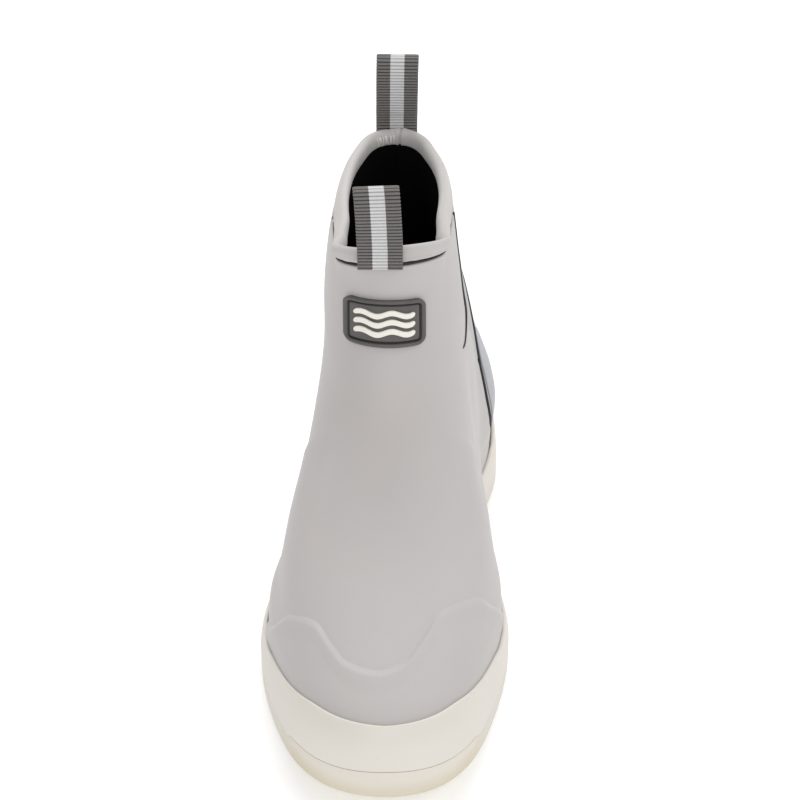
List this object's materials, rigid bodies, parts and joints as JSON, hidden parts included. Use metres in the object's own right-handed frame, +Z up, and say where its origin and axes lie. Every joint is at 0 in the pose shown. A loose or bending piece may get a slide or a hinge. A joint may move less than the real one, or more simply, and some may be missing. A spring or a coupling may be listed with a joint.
{
  "type": "ankle deck boot",
  "caption": "Pull-on ankle deck boot for the left foot: rubber upper over a knit-lined sock, side gores, bound collar with webbing pull tabs, wrap-round foxing and siped flat sole.",
  "frame": {"origin": "middle of the overall bounding box in plan, on the ground under the sole", "axes": "+Z up; -Y towards the toe, +Y towards the heel; +X the outer (lateral) side of this left foot"},
  "size_m": [0.1088, 0.2942, 0.2141],
  "materials": {
    "outsole_rubber": "matt non-marking gum rubber, cream",
    "foxing_rubber": "satin cream rubber",
    "midsole_foam": "closed-cell foam",
    "insole_board": "pressed fibre board",
    "footbed_foam": "open-cell foam",
    "footbed_knit": "brushed knit",
    "upper_rubber": "soft matt rubber, warm light grey",
    "gore_neoprene": "knit-faced neoprene, light grey",
    "stripe_rubber": "matt rubber, cool grey",
    "piping_rubber": "matt dark rubber",
    "label_ribbon": "black woven ribbon",
    "stiffener_board": "impregnated felt board",
    "sock_lining_knit": "black knit over neoprene",
    "collar_binding_knit": "smooth light grey stretch binding",
    "stitch_thread": "white sewing thread",
    "badge_rubber": "moulded dark grey rubber",
    "badge_emblem": "moulded off-white rubber",
    "tab_webbing": "ribbed grosgrain webbing, dark grey with a light middle stripe"
  },
  "bodies": {
    "boot": {"outsole": "outsole_rubber", "foxing_band": "foxing_rubber", "midsole_foam": "midsole_foam", "insole_board": "insole_board", "footbed_foam": "footbed_foam", "footbed_cover": "footbed_knit", "vamp": "upper_rubber", "heel_quarter": "upper_rubber", "toe_cap_overlay": "upper_rubber", "lateral_gore": "gore_neoprene", "medial_gore": "gore_neoprene", "lateral_heel_stripe": "stripe_rubber", "medial_heel_stripe": "stripe_rubber", "lateral_gore_piping": "piping_rubber", "medial_gore_piping": "piping_rubber", "lateral_heel_piping": "piping_rubber", "medial_heel_piping": "piping_rubber", "collar_seam_cord": "piping_rubber", "side_label": "label_ribbon", "toe_puff": "stiffener_board", "heel_counter": "stiffener_board", "sock_lining": "sock_lining_knit", "collar_binding": "collar_binding_knit", "collar_joint_stitch": "stitch_thread", "badge_patch": "badge_rubber", "badge_wave_1": "badge_emblem", "badge_wave_2": "badge_emblem", "badge_wave_3": "badge_emblem", "front_tab_anchor": "tab_webbing", "rear_tab_anchor": "tab_webbing"},
    "front_pull_tab": {"front_tab": "tab_webbing"},
    "rear_pull_tab": {"rear_tab": "tab_webbing"}
  },
  "joints": [
    {"name": "front_tab_fold", "type": "hinge", "parent": "boot", "child": "front_pull_tab", "pos_m": [-0.00213, -0.00028, 0.17222], "axis": [1, 0, 0], "range_deg": [-50, 120], "stiffness_Nm_per_rad": 0.01},
    {"name": "rear_tab_fold", "type": "hinge", "parent": "boot", "child": "rear_pull_tab", "pos_m": [0.00467, 0.11547, 0.17967], "axis": [-1, 0, 0], "range_deg": [-50, 120], "stiffness_Nm_per_rad": 0.01}
  ]
}
